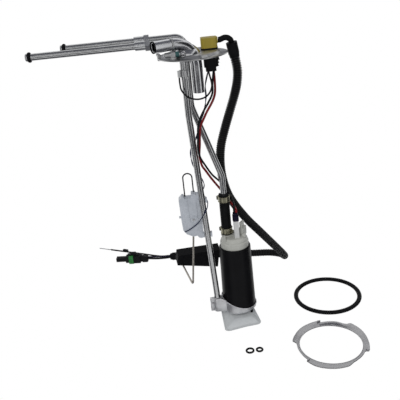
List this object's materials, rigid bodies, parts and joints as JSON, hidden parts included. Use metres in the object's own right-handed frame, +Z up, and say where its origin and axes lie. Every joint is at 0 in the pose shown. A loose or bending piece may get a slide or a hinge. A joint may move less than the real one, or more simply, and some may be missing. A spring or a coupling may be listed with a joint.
{
  "type": "in-tank fuel pump",
  "caption": "In-tank fuel pump hanger: flange with fuel and vent pipes, sleeved electric pump, strainer, float sender and harness, with lock ring and seals.",
  "frame": {"origin": "centre of the flange's underside, the face that closes the tank opening", "axes": "+Z up, out of the tank; the fuel tubes' tips point to -X; -Y is the side the picture shows"},
  "size_m": [0.4952, 0.4725, 0.4827],
  "materials": {
    "zinc_plated_steel": "bright zinc plate",
    "chromed_pipe": "bright plate",
    "tube_steel": "bright zinc plate",
    "black_rubber": "satin moulded rubber",
    "black_plastic": "moulded, fine texture",
    "yellow_plastic": "moulded",
    "teal_seal": "moulded",
    "green_seal": "ribbed moulded rubber",
    "clear_white_plastic": "translucent moulded acetal",
    "cap_plastic": "moulded, off-white",
    "white_plastic": "moulded",
    "boot_blue_black": "satin",
    "clamp_brass_zinc": "yellow passivated",
    "red_wire": "insulation",
    "blue_wire": "insulation",
    "bare_copper": "tinned",
    "bronze": "bare",
    "card_brown": "printed resistor on laminate",
    "steel_rod": "bare",
    "float_foam": "closed-cell foam",
    "magnet_ferrite": "ferrite",
    "brush_carbon": "carbon",
    "armature_copper": "wound laminations",
    "dark_plastic": "moulded",
    "bracket_steel": "zinc plate",
    "sock_weave": "woven nylon mesh",
    "lock_ring_steel": "pressed steel, grey plate"
  },
  "bodies": {
    "root": {"flange_plate": "zinc_plated_steel", "pipe_dome": "chromed_pipe", "locating_lugs": "zinc_plated_steel", "vent_pipe": "chromed_pipe", "vent_port_lip": "black_rubber", "vent_pipe_band": "zinc_plated_steel", "feed_tube": "tube_steel", "return_tube": "tube_steel", "feed_tip_seal": "black_rubber", "return_tip_seal": "black_rubber", "vapour_nipple": "chromed_pipe", "nipple_seal": "teal_seal", "nipple_cap": "zinc_plated_steel", "harness_plug": "yellow_plastic", "plug_seal": "black_rubber", "bulkhead_terminal": "black_plastic", "terminal_comb": "black_plastic", "plug_cable": "black_plastic", "loom_collar": "black_rubber", "harness_loom": "black_plastic", "loom_end_tape": "black_rubber", "harness_leads": "black_plastic", "harness_connector": "black_plastic", "connector_seal": "green_seal", "connector_clip": "black_plastic", "ground_lead": "black_plastic", "ground_lead_tip": "bare_copper", "power_wires": "red_wire", "ground_wire": "black_plastic", "sender_wire": "blue_wire", "ground_clip": "zinc_plated_steel", "sender_housing": "clear_white_plastic", "sender_cover": "clear_white_plastic", "resistor_card": "card_brown", "pivot_pin": "bare_copper", "sender_bail": "black_plastic", "feed_hose": "black_rubber", "upper_hose_clamp": "clamp_brass_zinc", "lower_hose_clamp": "clamp_brass_zinc", "terminal_block": "white_plastic", "terminal_boot": "boot_blue_black", "outlet_cap": "cap_plastic", "pump_case": "bracket_steel", "field_magnets": "magnet_ferrite", "brushes": "brush_carbon", "pump_inlet": "dark_plastic", "isolator_sleeve": "black_rubber", "pump_bracket": "bracket_steel", "strainer_sock": "sock_weave", "strainer_neck": "black_plastic", "tank_seal_ring": "black_rubber", "lock_ring": "lock_ring_steel", "tip_seal_spares": "black_rubber"},
    "float_lever": {"float_arm": "steel_rod", "float_block": "float_foam", "wiper": "bronze"},
    "feed_nut": {"feed_tube_nut": "zinc_plated_steel"},
    "return_nut": {"return_tube_nut": "zinc_plated_steel"},
    "rotor": {"armature": "armature_copper", "impeller": "dark_plastic"}
  },
  "joints": [
    {"name": "float_swing", "type": "hinge", "parent": "root", "child": "float_lever", "pos_m": [-0.0236, 0.008, -0.251], "axis": [0, 1, 0], "range_deg": [-6, 72]},
    {"name": "feed_nut_slide", "type": "slide", "parent": "root", "child": "feed_nut", "axis": [-1, 0, 0], "range_m": [-0.025, 0.095]},
    {"name": "return_nut_slide", "type": "slide", "parent": "root", "child": "return_nut", "axis": [-1, 0, 0], "range_m": [-0.025, 0.14]},
    {"name": "rotor_spin", "type": "hinge", "parent": "root", "child": "rotor", "pos_m": [0.0368, 0.004, -0.35], "axis": [0, 0, 1], "continuous": true}
  ]
}
